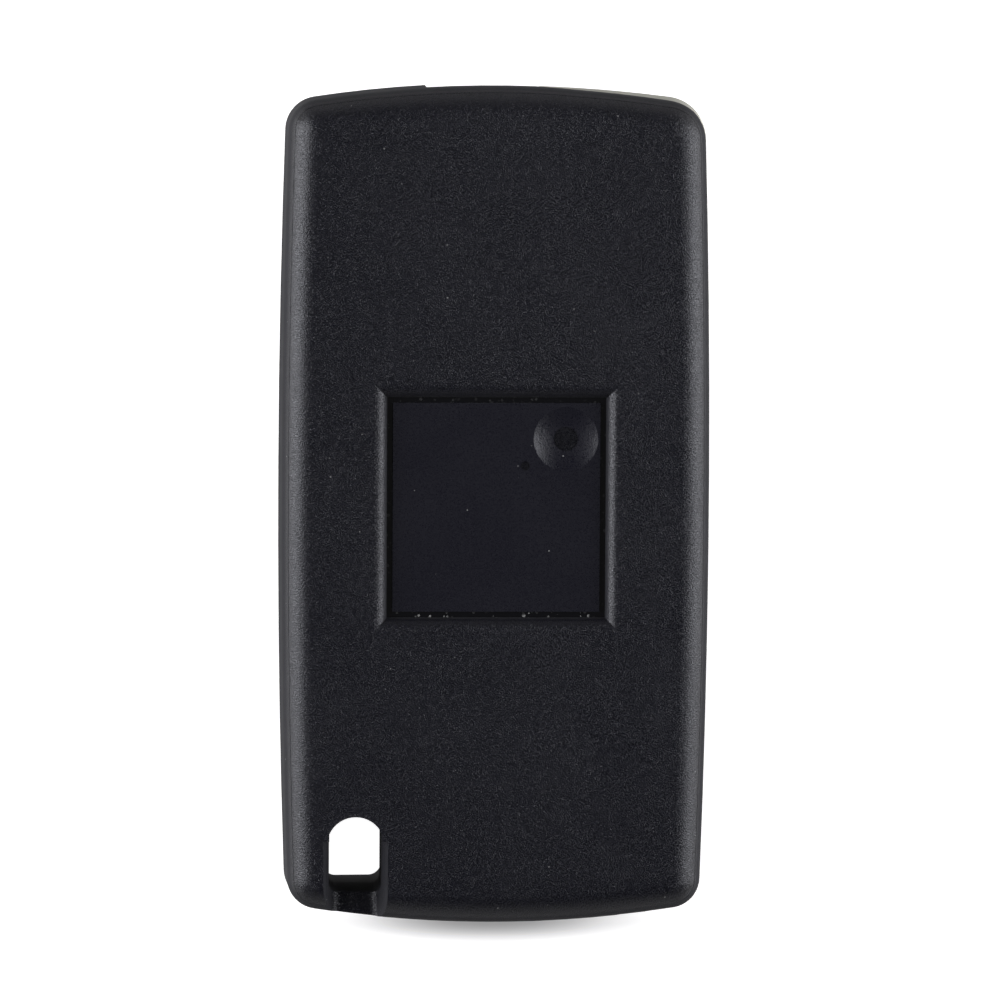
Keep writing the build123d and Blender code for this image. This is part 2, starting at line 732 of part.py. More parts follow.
# Rubber keypad: one sheet with a dome over each switch
with BuildPart() as keypad_membrane:
    with BuildSketch(Plane.XY.offset(ledge_z)):
        with Locations((keypad_x, keypad_y)):
            RectangleRounded(keypad_width, keypad_length, keypad_corner)
    extrude(amount=keypad_thickness)
    with Locations([(keypad_x, y, ledge_z + keypad_thickness + dome_height / 2) for y in buttons.values()]):
        Cone(dome_radius, dome_tip_radius, dome_height)

# Cover of the chip pocket, with a step that centres it
with BuildPart() as chip_cover:
    with BuildSketch(Plane.XY.offset(chip_wall_top)):
        with Locations((chip_x, chip_y)):
            Rectangle(chip_width + 2 * chip_wall, chip_length + 2 * chip_wall)
    extrude(amount=chip_cover_thickness)
    with BuildSketch(Plane.XY.offset(chip_wall_top - chip_cover_step)):
        with Locations((chip_x, chip_y)):
            Rectangle(chip_width - 2 * chip_cover_clearance, chip_length - 2 * chip_cover_clearance)
    extrude(amount=chip_cover_step)

# Cell contacts: bent spring strips that lie on the badge pad
strip_z = badge_pad_z - contact_thickness / 2
left_leg_x = cell_x - cell_radius - rib - contact_gap
right_leg_x = channel_x - rib - contact_gap
hook_x = cell_x + cell_radius + contact_gap
with BuildPart() as battery_contact_negative:
    with BuildSketch(Plane.XZ.offset(-cell_y)):
        with BuildLine() as strip:
            FilletPolyline(
                (cell_x + cell_radius / 2, strip_z - contact_lift),
                (cell_x + cell_radius / 4, strip_z),
                (left_leg_x, strip_z),
                (left_leg_x, contact_leg_z),
                radius=contact_bend,
            )
        trace(line_width=contact_thickness)
    extrude(amount=contact_width / 2, both=True)

with BuildPart() as battery_contact_positive:
    with BuildSketch(Plane.XZ.offset(-cell_y)):
        with BuildLine() as strip:
            FilletPolyline(
                (hook_x - contact_hook, back_inner_z - cell_wall_height - contact_lift),
                (hook_x, back_inner_z - cell_wall_height),
                (hook_x, strip_z),
                (right_leg_x, strip_z),
                (right_leg_x, contact_leg_z),
                radius=contact_bend,
            )
        trace(line_width=contact_thickness)
    extrude(amount=contact_width / 2, both=True)

pieces = {
    "rear_shell": rear_shell,
    "front_shell": front_shell,
    "flip_head": flip_head,
    "key_blade": key_blade,
    "blade_roll_pin": blade_roll_pin,
    "pivot_washer": pivot_washer,
    "release_core": release_core,
    "release_cap": release_cap,
    "flip_spring": flip_spring,
    "keypad_membrane": keypad_membrane,
    "chip_cover": chip_cover,
    "battery_contact_negative": battery_contact_negative,
    "battery_contact_positive": battery_contact_positive,
    **caps,
}
for piece_name, piece in pieces.items():
    piece.part.label = piece_name
    export_step(piece.part, f"parts/{piece_name}.step")
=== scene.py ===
import math

import bmesh
import bpy
from mathutils import Matrix, Vector


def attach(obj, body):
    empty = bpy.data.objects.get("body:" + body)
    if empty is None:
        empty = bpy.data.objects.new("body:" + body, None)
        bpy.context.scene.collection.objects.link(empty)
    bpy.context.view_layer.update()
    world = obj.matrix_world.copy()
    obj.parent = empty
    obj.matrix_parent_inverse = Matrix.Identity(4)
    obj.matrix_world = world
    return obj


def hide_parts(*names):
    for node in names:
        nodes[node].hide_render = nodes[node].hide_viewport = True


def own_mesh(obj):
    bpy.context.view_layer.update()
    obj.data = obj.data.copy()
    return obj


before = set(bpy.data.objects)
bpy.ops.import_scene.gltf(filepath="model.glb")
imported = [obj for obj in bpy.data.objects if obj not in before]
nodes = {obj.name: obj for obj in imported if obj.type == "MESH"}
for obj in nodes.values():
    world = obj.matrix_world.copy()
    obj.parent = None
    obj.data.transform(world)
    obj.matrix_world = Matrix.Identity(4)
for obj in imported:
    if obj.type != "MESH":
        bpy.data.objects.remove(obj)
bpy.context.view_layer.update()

mm = 0.001
print("key shell frame loaded")


# small helpers

def addObject(name, data):
    item = bpy.data.objects.new(name, data)
    bpy.context.scene.collection.objects.link(item)
    return item


def addNode(tree, kind, inputs=None, **settings):
    node = tree.nodes.new(kind)
    for name, value in settings.items():
        setattr(node, name, value)
    for name, value in (inputs or {}).items():
        node.inputs[name].default_value = value
    return node


def join(tree, source, target):
    tree.links.new(source, target)


def feed(tree, value, socket):  # a number or a colour is set on the socket, the rest is linked
    if isinstance(value, (int, float)):
        socket.default_value = value
    elif isinstance(value, tuple):
        lacksAlpha = len(value) == 3 and len(socket.default_value) == 4
        socket.default_value = (*value, 1.0) if lacksAlpha else value
    else:
        join(tree, value, socket)


def maths(tree, operation, *values, clamp=False):
    node = addNode(tree, "ShaderNodeMath", operation=operation, use_clamp=clamp)
    for socket, value in zip(node.inputs, values):
        feed(tree, value, socket)
    return node.outputs[0]


def product(tree, first, second):
    return maths(tree, "MULTIPLY", first, second)


def difference(tree, first, second):
    return maths(tree, "SUBTRACT", first, second)


def unsigned(tree, value):
    return maths(tree, "ABSOLUTE", value)


def ramp(tree, value, fromMin, fromMax, toMin=0.0, toMax=1.0):
    node = addNode(tree, "ShaderNodeMapRange", interpolation_type="SMOOTHSTEP")
    ends = {"From Min": fromMin, "From Max": fromMax, "To Min": toMin, "To Max": toMax}
    for name, number in ends.items():
        feed(tree, number, node.inputs[name])
    join(tree, value, node.inputs["Value"])
    return node.outputs["Result"]


def blendColour(tree, mask, under, over):
    node = addNode(tree, "ShaderNodeMix", data_type="RGBA")
    join(tree, mask, node.inputs[0])
    feed(tree, under, node.inputs[6])
    feed(tree, over, node.inputs[7])
    return node.outputs[2]


def newGroup(name, given, made):
    group = bpy.data.node_groups.new(name, "ShaderNodeTree")
    for label, value in given.items():
        socket = group.interface.new_socket(label, in_out="INPUT", socket_type="NodeSocketFloat")
        socket.default_value = value
    for label in made:
        group.interface.new_socket(label, in_out="OUTPUT", socket_type="NodeSocketFloat")
    inlet, outlet = group.nodes.new("NodeGroupInput"), group.nodes.new("NodeGroupOutput")
    return group, inlet.outputs, outlet.inputs


def placeGroup(tree, group, **numbers):
    return addNode(tree, "ShaderNodeGroup", inputs=numbers, node_tree=group).outputs


def objectMillimetres(tree):  # the point and the normal in the key's own frame
    coords = addNode(tree, "ShaderNodeTexCoord")
    scaled = addNode(tree, "ShaderNodeMapping", inputs={"Scale": (1000.0, 1000.0, 1000.0)})
    join(tree, coords.outputs["Object"], scaled.inputs["Vector"])
    return scaled.outputs["Vector"], coords.outputs["Normal"]


def split(tree, vector):
    parts = addNode(tree, "ShaderNodeSeparateXYZ")
    join(tree, vector, parts.inputs["Vector"])
    return parts.outputs["X"], parts.outputs["Y"], parts.outputs["Z"]


def noise(tree, place, scale, **inputs):
    node = addNode(tree, "ShaderNodeTexNoise", inputs=inputs)
    join(tree, place, node.inputs["Vector"])
    feed(tree, scale, node.inputs["Scale"])
    return node.outputs["Fac"]


# effects that several finishes share; all lengths in millimetres

grainPattern = {
    "pitScale": 1.3,              # pits to each swell of the noise between them
    "pitDepth": 0.7,
    "fleckBand": (-0.05, 0.45),   # heights between which the colour of the grain changes
}
handlingBand = (0.3, 0.7)
wearPattern = {
    "turnedBand": (0.02, 0.2),    # how far the rounded normal leans from the true one
    "patchScale": 2.2,
    "patchBand": (0.35, 0.65),
}


def makeSparkGrain():  # the pebbled face that a spark-eroded mould leaves
    group, given, made = newGroup("sparkGrain", {"size": 0.2, "depth": 0.01}, ("height", "fleck"))
    place, _ = objectMillimetres(group)
    frequency = maths(group, "DIVIDE", 1.0, given["size"])
    fine = noise(group, place, frequency, Detail=1.0, Roughness=0.6)
    pits = addNode(group, "ShaderNodeTexVoronoi", feature="SMOOTH_F1", inputs={"Smoothness": 0.5})
    join(group, place, pits.inputs["Vector"])
    join(group, product(group, frequency, grainPattern["pitScale"]), pits.inputs["Scale"])
    mixed = maths(group, "MULTIPLY_ADD", pits.outputs["Distance"], -grainPattern["pitDepth"], fine)
    join(group, product(group, mixed, given["depth"]), made["height"])
    join(group, ramp(group, mixed, *grainPattern["fleckBand"]), made["fleck"])
    return group


def makeLintDust():  # sparse pale specks, each cell holding one or none
    sizes = {"spacing": 1.5, "speck": 0.07, "amount": 0.4}
    group, given, made = newGroup("lintDust", sizes, ("mask",))
    place, _ = objectMillimetres(group)
    cells = addNode(group, "ShaderNodeTexVoronoi", feature="F1")
    join(group, place, cells.inputs["Vector"])
    join(group, maths(group, "DIVIDE", 1.0, given["spacing"]), cells.inputs["Scale"])
    apart = product(group, cells.outputs["Distance"], given["spacing"])
    pick = addNode(group, "ShaderNodeSeparateColor")
    join(group, cells.outputs["Color"], pick.inputs["Color"])
    near = maths(group, "LESS_THAN", apart, product(group, pick.outputs["Green"], given["speck"]))
    chosen = maths(group, "LESS_THAN", pick.outputs["Red"], given["amount"])
    join(group, product(group, near, chosen), made["mask"])
    return group


def makeHandling():  # broad patches that fingers have polished or dulled
    group, given, made = newGroup("handling", {"size": 9.0}, ("patch",))
    place, _ = objectMillimetres(group)
    frequency = maths(group, "DIVIDE", 1.0, given["size"])
    cloud = noise(group, place, frequency, Detail=3.0, Distortion=0.6)
    join(group, ramp(group, cloud, *handlingBand), made["patch"])
    return group


def makeBrushing():  # fine lines along the length of the key
    group, given, made = newGroup("brushing", {"spacing": 0.05, "stretch": 40.0}, ("line",))
    place, _ = objectMillimetres(group)
    across, along, upwards = split(group, place)
    squeezed = addNode(group, "ShaderNodeCombineXYZ")
    join(group, across, squeezed.inputs["X"])
    join(group, maths(group, "DIVIDE", along, given["stretch"]), squeezed.inputs["Y"])
    join(group, upwards, squeezed.inputs["Z"])
    frequency = maths(group, "DIVIDE", 1.0, given["spacing"])
    join(group, noise(group, squeezed.outputs["Vector"], frequency, Detail=3.0), made["line"])
    return group


def makeEdgeWear():  # where an edge is within reach of the radius, broken up by noise
    group, given, made = newGroup("edgeWear", {"reach": 0.15, "patchiness": 0.5}, ("mask",))
    place, _ = objectMillimetres(group)
    geometry = addNode(group, "ShaderNodeNewGeometry")
    rounded = addNode(group, "ShaderNodeBevel", samples=4)
    join(group, product(group, given["reach"], mm), rounded.inputs["Radius"])
    likeness = addNode(group, "ShaderNodeVectorMath", operation="DOT_PRODUCT")
    join(group, rounded.outputs["Normal"], likeness.inputs[0])
    join(group, geometry.outputs["Normal"], likeness.inputs[1])
    leaning = difference(group, 1.0, likeness.outputs["Value"])
    turned = ramp(group, leaning, *wearPattern["turnedBand"])
    cloud = noise(group, place, wearPattern["patchScale"], Detail=4.0)
    missing = difference(group, ramp(group, cloud, *wearPattern["patchBand"]), 1.0)
    kept = maths(group, "MULTIPLY_ADD", missing, given["patchiness"], 1.0)
    join(group, product(group, turned, kept), made["mask"])
    return group


sparkGrain = makeSparkGrain()
lintDust = makeLintDust()
handling = makeHandling()
brushing = makeBrushing()
edgeWear = makeEdgeWear()
print("shared effects made")


def newFinish(name, **sockets):
    finish = bpy.data.materials.new(name)
    finish.use_nodes = True
    tree = finish.node_tree
    shader = tree.nodes["Principled BSDF"]
    for label, value in sockets.items():
        shader.inputs[label].default_value = value
    return finish, tree, shader


def reliefToNormal(tree, shader, height):  # the height is in millimetres
    bump = addNode(tree, "ShaderNodeBump", inputs={"Strength": 1.0, "Distance": mm})
    join(tree, height, bump.inputs["Height"])
    join(tree, bump.outputs["Normal"], shader.inputs["Normal"])


def dress(nodeName, finish):
    for slot in nodes[nodeName].material_slots:
        slot.material = finish


# case plastic: grained black, with painted light on its upright walls; all bands but the grazing one are
# of how squarely a face looks up or down

casePlastic = {
    "ior": 1.5,
    "black": (0.0001, 0.0001, 0.0016),
    "worn": (0.0098, 0.0096, 0.0142),
    # painted light: upright walls get an even colour of their own, lighter than the grain's dark pits
    "wall": (0.0045, 0.0045, 0.0066),
    "wallBand": (0.1, 0.4),
    "grainBand": (0.12, 0.45),
    "grainSize": 0.105,
    "grainDepth": 0.034,
    "grainGloss": 0.2,        # how much duller the pits of the grain are than its tops
    "roughBand": (0.1, 0.6),
    "roughFace": 0.26,
    "roughWall": 0.42,
    "grazingBand": (0.25, 0.62),
    "roughGrazing": 0.74,     # grain hides the mirror image at a flat angle
    "handlingSize": 11.0,
    "handlingDuller": 0.04,
    "lint": {"spacing": 0.9, "speck": 0.07, "amount": 0.3},
    "lintColour": (0.20, 0.20, 0.19),
    "rollOffStart": 31.4,     # the badge face rolls off from here towards both ends
    "rollOffRadius": 26.0,
}

# badge recess: a smooth floor in a narrow trench, which is painted near black as shade, with the marks
# of the gate and an ejector pin

badgeRecess = {
    "halfWidth": 8.83,
    "halfLength": 8.9,
    "floorTop": (14.12, 14.17),
    "floorEdge": 0.04,
    "black": (0.0040, 0.0038, 0.0076),
    "pale": (0.0062, 0.0060, 0.0104),
    "mottleScale": 3.0,
    "mottleBand": (0.35, 0.75),
    "grainLost": 0.95,
    "floorDuller": 0.06,
    "trenchTop": (13.9, 14.0),
    "trenchWall": (0.52, 0.58),   # how far outside the floor the trench ends
    "trenchPaintedShade": (0.0012, 0.0012, 0.0022),
    "trenchGlossier": 0.14,
    "gate": (5.9, 5.85),
    "gateRadius": 2.75,
    "gateRim": 0.1,
    "gateGrain": 0.35,
    "gateEdgeSlope": 0.35,        # how steep the dish is at its rim
    "coneSlope": 0.126,           # what the frame's own cone already has
    "pitRadius": 1.0,
    "pitRim": (-0.05, 0.1),
    "tornScale": 4.0,
    "tornDepth": 0.03,
    "ejector": (2.45, 3.55),
    "ejectorRadius": 0.36,
    "ejectorRim": 0.08,
    "ejectorDepth": 0.012,
    "markBlack": (0.0024, 0.0024, 0.0042),
    "markGlossier": 0.05,
    "lint": {"spacing": 0.33, "speck": 0.15, "amount": 0.75},
    "lintClumps": 1.1,
    "clumpBand": (0.40, 0.55),
    "lowerEnd": (-9.3, -9.0),
    "lintElsewhere": 0.12,        # the lint away from the lower end, as a share of the lint there
}


def awayFrom(tree, x, y, middle):  # distance from an upright line
    offset = addNode(tree, "ShaderNodeCombineXYZ")
    join(tree, difference(tree, x, middle[0]), offset.inputs["X"])
    join(tree, difference(tree, y, middle[1]), offset.inputs["Y"])
    length = addNode(tree, "ShaderNodeVectorMath", operation="LENGTH")
    join(tree, offset.outputs["Vector"], length.inputs[0])
    return length.outputs["Value"]


def mouldFloor(tree, place, z, outward, low, surface):  # gives back the mask of the trench
    recess = badgeRecess
    inside = ramp(tree, outward, 0.0, recess["floorEdge"], 1.0, 0.0)
    outside = ramp(tree, outward, 0.0, recess["floorEdge"])
    smooth = product(tree, inside, low)
    trench = product(tree, outside, ramp(tree, z, *recess["trenchTop"], 1.0, 0.0))
    trench = product(tree, trench, ramp(tree, outward, *recess["trenchWall"], 1.0, 0.0))
    bare = maths(tree, "MAXIMUM", smooth, trench)
    kept = maths(tree, "MULTIPLY_ADD", bare, -recess["grainLost"], 1.0)
    surface["grained"] = product(tree, surface["grained"], kept)
    clouds = noise(tree, place, recess["mottleScale"], Detail=4.0, Roughness=0.75)
    mottle = ramp(tree, clouds, *recess["mottleBand"])
    floor = blendColour(tree, mottle, recess["black"], recess["pale"])
    base = blendColour(tree, smooth, surface["base"], floor)
    # painted shade: the trench round the floor is coloured near black
    surface["base"] = blendColour(tree, trench, base, recess["trenchPaintedShade"])
    rough = maths(tree, "MULTIPLY_ADD", smooth, recess["floorDuller"], surface["rough"])
    surface["rough"] = maths(tree, "MULTIPLY_ADD", trench, -recess["trenchGlossier"], rough)
    return trench


def mouldMarks(tree, place, x, y, low, surface):  # the gate's dish and torn pit, and the ejector's mark
    recess = badgeRecess
    radius, pit = recess["gateRadius"], recess["pitRadius"]
    fromGate = awayFrom(tree, x, y, recess["gate"])
    reach = maths(tree, "MINIMUM", maths(tree, "MAXIMUM", fromGate, pit), radius)
    bowl = product(tree, product(tree, reach, reach), 0.5 * recess["gateEdgeSlope"] / radius)
    dish = maths(tree, "MULTIPLY_ADD", reach, -recess["coneSlope"], bowl)
    relief = maths(tree, "MULTIPLY_ADD", dish, low, surface["relief"])
    inGate = ramp(tree, fromGate, radius - recess["gateRim"], radius, recess["gateGrain"], 0.0)
    surface["grained"] = maths(tree, "MAXIMUM", surface["grained"], product(tree, inGate, low))
    pitEdge = [pit + past for past in recess["pitRim"]]
    inPit = product(tree, ramp(tree, fromGate, *pitEdge, 1.0, 0.0), low)
    torn = noise(tree, place, recess["tornScale"], Detail=4.0, Roughness=0.8)
    relief = maths(tree, "MULTIPLY_ADD", product(tree, torn, inPit), recess["tornDepth"], relief)
    pin, rim = recess["ejectorRadius"], recess["ejectorRim"]
    fromPin = awayFrom(tree, x, y, recess["ejector"])
    inPin = product(tree, ramp(tree, fromPin, pin - rim, pin + rim, 1.0, 0.0), low)
    surface["relief"] = maths(tree, "MULTIPLY_ADD", inPin, -recess["ejectorDepth"], relief)
    marks = maths(tree, "MAXIMUM", inPin, inPit)
    surface["base"] = blendColour(tree, marks, surface["base"], recess["markBlack"])
    surface["rough"] = maths(tree, "MULTIPLY_ADD", marks, -recess["markGlossier"], surface["rough"])


def settleLint(tree, place, y, trench, surface):  # lint lies in the trench, most of it at the lower end
    recess = badgeRecess
    specks = placeGroup(tree, lintDust, **recess["lint"])["mask"]
    clumps = ramp(tree, noise(tree, place, recess["lintClumps"], Detail=2.0), *recess["clumpBand"])
    share = ramp(tree, y, *recess["lowerEnd"], 1.0, recess["lintElsewhere"])
    settled = product(tree, product(tree, specks, clumps), product(tree, trench, share))
    surface["lint"] = maths(tree, "MAXIMUM", surface["lint"], settled)


def mouldBadgeRecess(tree, place, x, y, z, surface):
    fromX = difference(tree, unsigned(tree, x), badgeRecess["halfWidth"])
    fromY = difference(tree, unsigned(tree, y), badgeRecess["halfLength"])
    outward = maths(tree, "MAXIMUM", fromX, fromY)
    low = ramp(tree, z, *badgeRecess["floorTop"], 1.0, 0.0)
    trench = mouldFloor(tree, place, z, outward, low, surface)
    mouldMarks(tree, place, x, y, low, surface)
    settleLint(tree, place, y, trench, surface)


def makeCaseFinish(name, badgeSide):
    look = casePlastic
    finish, tree, shader = newFinish(name, IOR=look["ior"])
    place, normal = objectMillimetres(tree)
    x, y, z = split(tree, place)
    facing = unsigned(tree, split(tree, normal)[2])
    grain = placeGroup(tree, sparkGrain, size=look["grainSize"], depth=look["grainDepth"])
    grainColour = blendColour(tree, grain["fleck"], look["black"], look["worn"])
    past = maths(tree, "MAXIMUM", difference(tree, unsigned(tree, y), look["rollOffStart"]), 0.0)
    patch = placeGroup(tree, handling, size=look["handlingSize"])["patch"]
    rough = ramp(tree, facing, *look["roughBand"], look["roughWall"], look["roughFace"])
    rough = maths(tree, "MULTIPLY_ADD", patch, look["handlingDuller"], rough)
    duller = product(tree, difference(tree, 0.5, grain["fleck"]), look["grainGloss"])
    surface = {
        # painted light: upright walls take the lighter wall colour in place of the grain's
        "base": blendColour(tree, ramp(tree, facing, *look["wallBand"]), look["wall"], grainColour),
        "rough": maths(tree, "ADD", rough, duller),
        "relief": product(tree, product(tree, past, past), -0.5 / look["rollOffRadius"]),
        "grained": ramp(tree, facing, *look["grainBand"]),
        "lint": placeGroup(tree, lintDust, **look["lint"])["mask"],
    }
    if badgeSide:
        mouldBadgeRecess(tree, place, x, y, z, surface)
    base = blendColour(tree, surface["lint"], surface["base"], look["lintColour"])
    join(tree, base, shader.inputs["Base Color"])
    grazing = addNode(tree, "ShaderNodeLayerWeight", inputs={"Blend": 0.5}).outputs["Facing"]
    softened = ramp(tree, grazing, *look["grazingBand"], 0.0, look["roughGrazing"])
    join(tree, maths(tree, "MAXIMUM", surface["rough"], softened), shader.inputs["Roughness"])
    relief = maths(tree, "MULTIPLY_ADD", grain["height"], surface["grained"], surface["relief"])
    reliefToNormal(tree, shader, relief)
    return finish


dress("front_shell", makeCaseFinish("casePlasticFront", False))
print("case dressed")


# bare metals: cast head, milled blade, pins, washers and contact strips

metalWear = {
    "metallic": 0.82,
    "brush": {"spacing": 0.05, "stretch": 40.0},
    "patchSize": 5.0,
    "patchTone": 0.8,             # a handled patch is this much darker
    "edges": {"reach": 0.12, "patchiness": 0.6},
    "edgeGloss": 0.3,             # a worn edge is this much smoother
    "glossBand": (0.2, 0.8),
    "glossSpread": (0.85, 1.2),
}
metalLooks = {
    "castHead": {
        "tint": (0.62, 0.61, 0.54), "worn": (0.72, 0.71, 0.65),
        "rough": 0.42, "grain": 0.14, "depth": 0.005, "line": 0.0,
    },
    "milledBlade": {
        "tint": (0.56, 0.55, 0.52), "worn": (0.75, 0.74, 0.7),
        "rough": 0.27, "grain": 0.1, "depth": 0.001, "line": 0.0016,
    },
    "springSteel": {
        "tint": (0.40, 0.40, 0.41), "worn": (0.55, 0.55, 0.55),
        "rough": 0.27, "grain": 0.1, "depth": 0.001, "line": 0.0,
    },
    "contactStrip": {
        "tint": (0.60, 0.57, 0.50), "worn": (0.75, 0.72, 0.66),
        "rough": 0.3, "grain": 0.1, "depth": 0.001, "line": 0.0008,
    },
}


def makeMetal(name, tint, worn, rough, grain, depth, line):
    wear = metalWear
    finish, tree, shader = newFinish(name, Metallic=wear["metallic"])
    pebble = placeGroup(tree, sparkGrain, size=grain, depth=depth)
    brushed = placeGroup(tree, brushing, **wear["brush"])["line"]
    patch = placeGroup(tree, handling, size=wear["patchSize"])["patch"]
    edges = placeGroup(tree, edgeWear, **wear["edges"])["mask"]
    dull = tuple(wear["patchTone"] * part for part in tint)
    colour = blendColour(tree, patch, tint, dull)
    join(tree, blendColour(tree, edges, colour, worn), shader.inputs["Base Color"])
    least, most = [rough * share for share in wear["glossSpread"]]
    spread = ramp(tree, brushed if line else pebble["fleck"], *wear["glossBand"], least, most)
    smoother = -wear["edgeGloss"] * rough
    join(tree, maths(tree, "MULTIPLY_ADD", edges, smoother, spread), shader.inputs["Roughness"])
    reliefToNormal(tree, shader, maths(tree, "MULTIPLY_ADD", brushed, line, pebble["height"]))
    return finish


metals = {name: makeMetal(name, **look) for name, look in metalLooks.items()}
dress("flip_head", metals["castHead"])
dress("key_blade", metals["milledBlade"])
for nodeName in ("blade_roll_pin", "pivot_washer"):
    dress(nodeName, metals["springSteel"])
for nodeName in ("battery_contact_negative", "battery_contact_positive"):
    dress(nodeName, metals["contactStrip"])
print("metals dressed")


# smaller mouldings: keypad, core, chip cover and button caps

mouldingWear = {
    "ior": 1.48,
    "fleckTone": 1.5,             # the tops of the grain are this much lighter
    "lint": {"spacing": 1.8, "speck": 0.1, "amount": 0.3},
    "lintColour": (0.28, 0.28, 0.27),
    "patchSize": 6.0,
    "glossSpread": (0.9, 1.15),
}
mouldingLooks = {
    "keypadRubber": {
        "tint": (0.020, 0.020, 0.021), "rough": 0.62, "grain": 0.3, "depth": 0.006, "level": 0.4,
    },
    "corePlastic": {
        "tint": (0.015, 0.015, 0.016), "rough": 0.4, "grain": 0.2, "depth": 0.004, "level": 0.5,
    },
    "capPlastic": {
        "tint": (0.0085, 0.0085, 0.0105), "rough": 0.36, "grain": 0.12, "depth": 0.004, "level": 0.5,
    },
}


def makeMoulding(name, tint, rough, grain, depth, level):
    wear = mouldingWear
    finish, tree, shader = newFinish(name, IOR=wear["ior"])
    shader.inputs["Specular IOR Level"].default_value = level
    pebble = placeGroup(tree, sparkGrain, size=grain, depth=depth)
    lint = placeGroup(tree, lintDust, **wear["lint"])["mask"]
    patch = placeGroup(tree, handling, size=wear["patchSize"])["patch"]
    lighter = tuple(wear["fleckTone"] * part for part in tint)
    base = blendColour(tree, pebble["fleck"], tint, lighter)
    join(tree, blendColour(tree, lint, base, wear["lintColour"]), shader.inputs["Base Color"])
    least, most = [rough * share for share in wear["glossSpread"]]
    join(tree, ramp(tree, patch, 0.0, 1.0, least, most), shader.inputs["Roughness"])
    reliefToNormal(tree, shader, pebble["height"])
    return finish


mouldings = {name: makeMoulding(name, **look) for name, look in mouldingLooks.items()}
dress("keypad_membrane", mouldings["keypadRubber"])
dress("release_core", mouldings["corePlastic"])
dress("chip_cover", mouldings["corePlastic"])
print("mouldings dressed")


# pieces that are rebuilt as finer meshes

sharpFrom = math.radians(35)  # an edge that turns more than this is shaded sharp


def keepPiece(name, mesh, finish):
    for edge in mesh.edges:
        edge.smooth = not edge.is_manifold or edge.calc_face_angle() < sharpFrom
    for face in mesh.faces:
        face.smooth = True
    data = bpy.data.meshes.new(name)
    mesh.to_mesh(data)
    mesh.free()
    data.materials.append(finish)
    return addObject(name, data)


def finishMesh(name, rings, finish):  # rings of points from the back's middle round to the face's middle
    mesh = bmesh.new()
    loops = [[mesh.verts.new(point) for point in ring] for ring in rings]
    for before, after in zip(loops, loops[1:]):
        if len(before) == 1 or len(after) == 1:
            tip, loop = (before[0], after) if len(before) == 1 else (after[0], before)
            for first, second in zip(loop, loop[1:] + loop[:1]):
                mesh.faces.new((tip, first, second))
        else:
            for number in range(len(before)):
                following = (number + 1) % len(before)
                mesh.faces.new((before[number], before[following], after[following], after[number]))
    bmesh.ops.recalc_face_normals(mesh, faces=mesh.faces)
    return keepPiece(name, mesh, finish)


def roundedRectangle(halfWidth, halfLength, corner, steps):
    points = []
    for quarter in range(4):
        signX = 1 if quarter in (0, 3) else -1
        signY = 1 if quarter in (0, 1) else -1
        for step in range(steps + 1):
            turn = math.pi / 2 * (quarter + step / steps)
            points.append((
                signX * (halfWidth - corner) + corner * math.cos(turn),
                signY * (halfLength - corner) + corner * math.sin(turn),
            ))
    return points


def roundedEdge(radius, steps):  # how far in from the wall and back from the face, from wall to face
    turns = [math.pi / 2 * step / steps for step in range(steps + 1)]
    return [(radius * (1 - math.cos(turn)), radius * (1 - math.sin(turn))) for turn in turns]


def shareBetween(value, start, end):  # 0 at the start and 1 at the end
    return min(max((value - start) / (end - start), 0.0), 1.0)


shellEdge = {
    "cornerAt": (14.15, 30.91),   # middle of the case's rounded corner beside the head
    "cornerRadius": 3.8,
    "crownTop": 35.763,           # the crowned end is at this y less x squared over the next
    "crownCurve": 198.0,
    "opens": (3.9, 6.8),          # the head's metal edge shows from the first x and is full at the next
    "closes": (0.76, 0.98),       # round the corner it closes again, by how far the edge faces the end
    "setBack": 0.12,              # how far the shell's edge stays back above the head
    "fromZ": 11.3,
    "reach": 2.5,                 # how far in from the edge the shell is drawn back
}


def shellShift(x, y, z):
    edge = shellEdge
    cornerX, cornerY = edge["cornerAt"]
    spoke = Vector((max(x - cornerX, 0.0), y - cornerY, 0.0))
    crown = edge["crownTop"] - x * x / edge["crownCurve"] - cornerY
    rim = edge["cornerRadius"] if spoke.x else crown
    inside = max(rim - spoke.length, 0.0) / edge["reach"]
    if z < edge["fromZ"] or inside > 1.0:
        return Vector()
    spoke.normalize()
    drawn = shareBetween(x, *edge["opens"]) * shareBetween(spoke.y, *edge["closes"])
    return spoke * (-edge["setBack"] * drawn * (1.0 - inside))


def shapedCopy(nodeName, name, finish, shift):  # the node's own mesh and shading, with some points moved
    source = nodes[nodeName].data
    mergeWithin = 0.0001 * mm

    def spot(data, index):
        return tuple(round(part / mm, 3) for part in data.vertices[index].co)

    turned = {}
    for face in source.polygons:
        corners = frozenset(spot(source, index) for index in face.vertices)
        for index, loop in zip(face.vertices, face.loop_indices):
            turned[corners, spot(source, index)] = source.corner_normals[loop].vector.copy()
    mesh = bmesh.new()
    mesh.from_mesh(source)
    bmesh.ops.remove_doubles(mesh, verts=mesh.verts, dist=mergeWithin)
    data = bpy.data.meshes.new(name)
    mesh.to_mesh(data)
    mesh.free()
    normals = []
    for face in data.polygons:
        face.use_smooth = True
        corners = frozenset(spot(data, index) for index in face.vertices)
        for index in face.vertices:
            normals.append(turned.get((corners, spot(data, index)), face.normal))
    for vertex in data.vertices:
        vertex.co += shift(*(vertex.co / mm)) * mm
    data.normals_split_custom_set(normals)
    data.materials.clear()
    data.materials.append(finish)
    return addObject(name, data)


badgeFinish = makeCaseFinish("casePlasticRear", True)
rearShell = shapedCopy("rear_shell", "rear_shell_edged", badgeFinish, shellShift)
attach(rearShell, "case")
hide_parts("rear_shell")
print("rear shell edged above the flip head")


